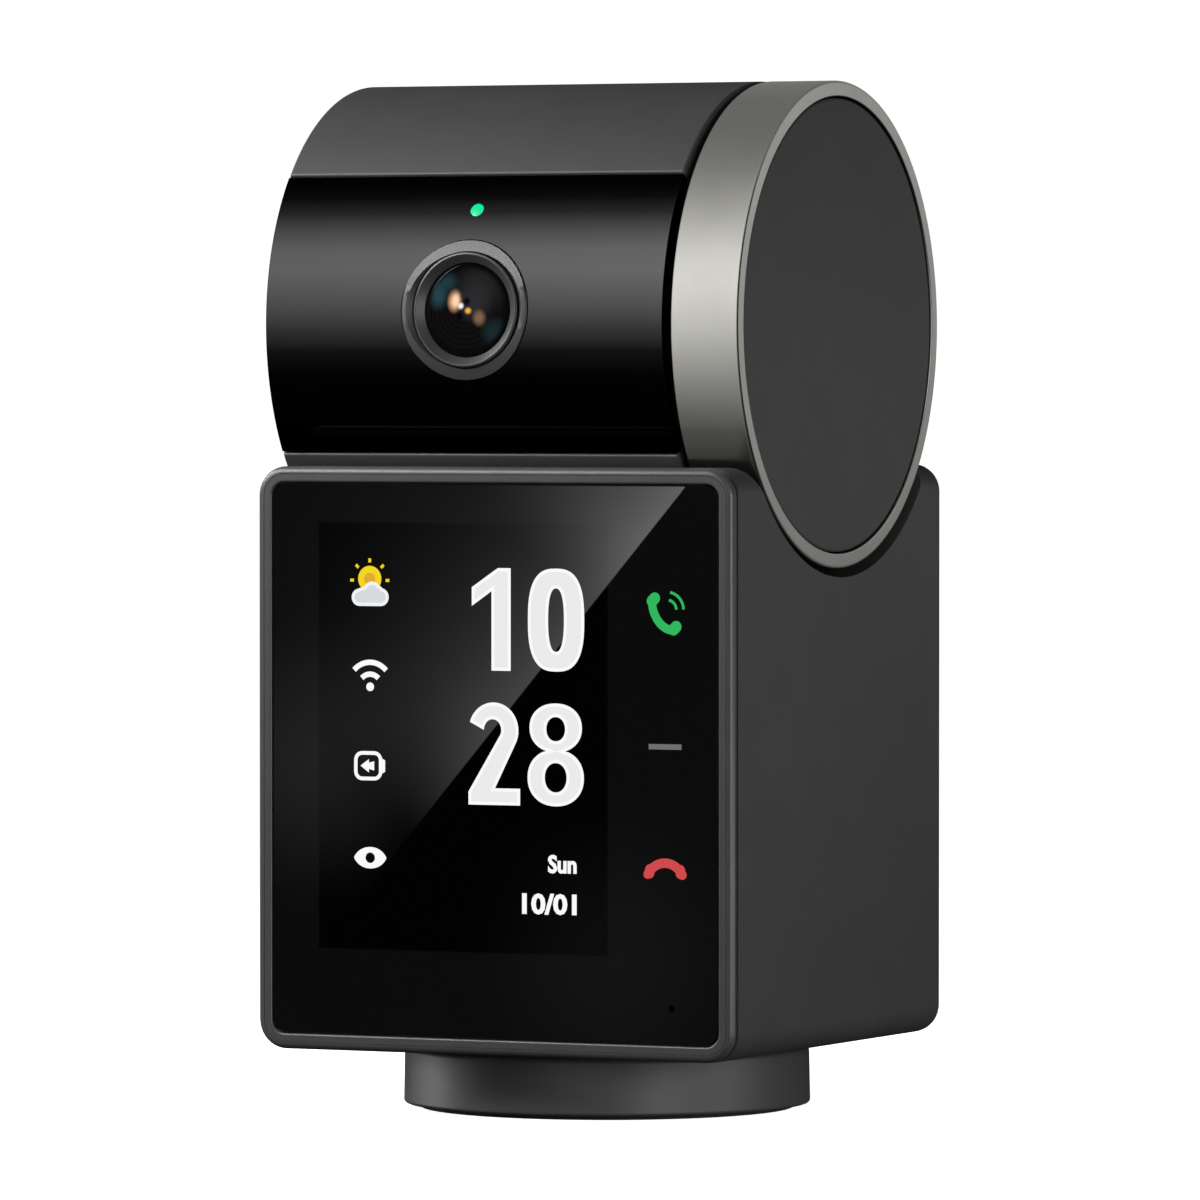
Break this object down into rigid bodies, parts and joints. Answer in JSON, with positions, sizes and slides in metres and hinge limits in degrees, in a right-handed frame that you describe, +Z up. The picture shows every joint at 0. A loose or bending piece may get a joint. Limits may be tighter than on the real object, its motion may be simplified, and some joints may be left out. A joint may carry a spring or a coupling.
{
  "type": "smart display",
  "caption": "Home camera and smart display: a boxy body with a touch screen turns on a round foot and carries a camera barrel that tilts on a side arm.",
  "frame": {"origin": "centre of the foot's underside, on the surface it stands on, on the pan axis", "axes": "+Z up, the screen and the lens face -Y, +X is the viewer's right, where the side pod is"},
  "size_m": [0.071, 0.071, 0.1402],
  "materials": {
    "matte_shell": "fine matte moulded plastic",
    "frame_grey": "satin moulded plastic",
    "black_glass": "polished black-backed glass",
    "visor_black": "polished infrared-passing plastic",
    "ring_metal": "satin anodised",
    "inner_plastic": "plain moulded plastic",
    "rubber_foot": "matte",
    "steel": "plain rolled",
    "circuit_board": "solder mask over glass fibre",
    "white_plastic": "natural acetal",
    "brass": "turned",
    "lens_grey": "satin",
    "lens_glass": "coated optical glass",
    "status_green": "lit light guide",
    "led_clear": "clear resin"
  },
  "bodies": {
    "base": {"foot_pad": "rubber_foot", "base_plate": "steel", "base_shell": "matte_shell", "base_weight": "steel", "pan_retainer": "steel", "pan_gear": "white_plastic"},
    "housing": {"housing_shell": "matte_shell", "front_frame": "frame_grey", "cover_glass": "black_glass", "lcd_panel": "inner_plastic", "lcd_bracket": "steel", "touch_key_board": "circuit_board", "microphone": "steel", "main_board": "circuit_board", "shield_can": "steel", "board_screw_1": "steel", "board_screw_2": "steel", "wifi_antenna": "circuit_board", "speaker": "inner_plastic", "speaker_grille": "inner_plastic", "power_board": "circuit_board", "usb_socket": "steel", "chassis_plate": "inner_plastic", "pan_bush": "white_plastic", "pan_motor": "steel", "pan_motor_screw_1": "steel", "pan_motor_screw_2": "steel", "side_arm_bracket": "steel", "arm_screw_1": "steel", "arm_screw_2": "steel", "pod_ring": "ring_metal", "pod_back_plate": "inner_plastic", "pod_disc": "matte_shell", "tilt_axle": "steel", "tilt_gear": "white_plastic", "axle_clip": "steel"},
    "head": {"barrel_shell": "matte_shell", "visor": "visor_black", "barrel_left_cap": "matte_shell", "barrel_right_cap": "inner_plastic", "axle_bush": "white_plastic", "head_chassis": "inner_plastic", "lens_bezel": "lens_grey", "lens_inner_ring": "lens_grey", "lens_glass": "lens_glass", "lens_barrel": "inner_plastic", "sensor_board": "circuit_board", "ir_led_board": "circuit_board", "ir_led_1": "led_clear", "ir_led_2": "led_clear", "status_light": "status_green", "tilt_motor": "steel", "tilt_motor_screw_1": "steel", "tilt_motor_screw_2": "steel", "card_socket": "steel", "reset_switch": "inner_plastic"},
    "pan_pinion": {"pan_pinion": "brass"},
    "tilt_pinion": {"tilt_pinion": "brass"},
    "reset_button": {"reset_button": "inner_plastic"}
  },
  "joints": [
    {"name": "pan", "type": "hinge", "parent": "base", "child": "housing", "pos_m": [0, 0, 0.0091], "axis": [0, 0, 1], "range_deg": [-177.5, 177.5]},
    {"name": "tilt", "type": "hinge", "parent": "housing", "child": "head", "pos_m": [0, 0, 0.1071], "axis": [1, 0, 0], "range_deg": [-80, 60]},
    {"name": "pan_pinion_spin", "type": "hinge", "parent": "housing", "child": "pan_pinion", "pos_m": [-0.01304, 0.00753, 0.0147], "axis": [0, 0, 1], "range_deg": [-712, 712]},
    {"name": "tilt_pinion_spin", "type": "hinge", "parent": "head", "child": "tilt_pinion", "pos_m": [0.0115, 0.00924, 0.11485], "axis": [1, 0, 0], "range_deg": [-242, 182]},
    {"name": "reset_press", "type": "slide", "parent": "head", "child": "reset_button", "axis": [0, 0.7314, 0.682], "range_m": [0, 0.0005], "stiffness_N_per_m": 600, "springref_m": -0.0005}
  ],
  "couplings": [
    {"joint": "pan_pinion_spin", "follows": "pan", "ratio": 4},
    {"joint": "tilt_pinion_spin", "follows": "tilt", "ratio": 3}
  ]
}
